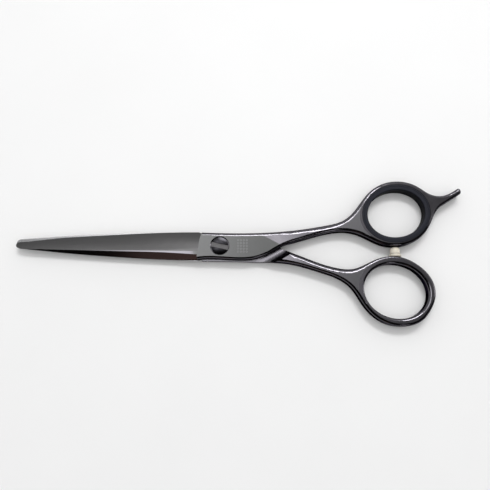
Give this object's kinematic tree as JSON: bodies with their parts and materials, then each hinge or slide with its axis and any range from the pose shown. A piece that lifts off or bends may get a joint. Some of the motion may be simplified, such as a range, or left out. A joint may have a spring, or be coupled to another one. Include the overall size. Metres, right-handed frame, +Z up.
{
  "type": "hair cutting shears",
  "caption": "Offset-handle hair cutting shears: two tapered blades on a flat coin-slot pivot, oval finger and thumb rings, curved finger rest and a rubber-tipped stop between the rings.",
  "frame": {"origin": "on the pivot axis, at the resting plane under the ride of the lower, thumb half", "axes": "+X from the pivot towards the rings, with the blade tips towards -X; +Y towards the finger ring and its tang; +Z up, out of the screw head"},
  "size_m": [0.1774, 0.0581, 0.005],
  "materials": {
    "black_steel": "black-coated stainless steel: mirror-polished shanks and rings, satin ride and blade facets",
    "insert_black": "soft matte black plastic",
    "bumper_ivory": "ivory nylon, slightly translucent, satin",
    "stud_steel": "turned stainless steel, rolled thread",
    "screw_black": "black-coated steel, polished head, slot floor worn bright",
    "ptfe_white": "white PTFE, waxy",
    "spring_steel": "tempered spring steel strip",
    "race_steel": "ground bearing steel",
    "ball_steel": "polished bearing steel",
    "cage_brass": "stamped brass sheet",
    "nut_black": "black-coated steel, satin face flush with the ride",
    "nylon_blue": "blue nylon locking ring"
  },
  "bodies": {
    "thumb_side": {"thumb_half": "black_steel", "bumper_cap": "bumper_ivory", "bumper_stud": "stud_steel", "pivot_nut": "nut_black", "thread_lock_ring": "nylon_blue", "lower_race": "race_steel"},
    "finger_side": {"finger_half": "black_steel", "finger_ring_insert": "insert_black", "upper_race": "race_steel"},
    "bearing": {"ball_cage": "cage_brass", "bearing_ball_1": "ball_steel", "bearing_ball_2": "ball_steel", "bearing_ball_3": "ball_steel", "bearing_ball_4": "ball_steel", "bearing_ball_5": "ball_steel", "bearing_ball_6": "ball_steel", "bearing_ball_7": "ball_steel", "bearing_ball_8": "ball_steel"},
    "screw": {"pivot_screw": "screw_black", "glide_washer": "ptfe_white", "tension_spring": "spring_steel"}
  },
  "joints": [
    {"name": "blade_open", "type": "hinge", "parent": "thumb_side", "child": "finger_side", "pos_m": [0, 0, 0.0025], "axis": [0, 0, 1], "range_deg": [0, 120]},
    {"name": "cage_turn", "type": "hinge", "parent": "thumb_side", "child": "bearing", "pos_m": [0, 0, 0.0025], "axis": [0, 0, 1], "range_deg": [0, 60]},
    {"name": "tension_adjust", "type": "hinge", "parent": "thumb_side", "child": "screw", "pos_m": [0, 0, 0.0025], "axis": [0, 0, 1], "range_deg": [-45, 45]}
  ],
  "couplings": [
    {"joint": "cage_turn", "follows": "blade_open", "ratio": 0.5}
  ]
}
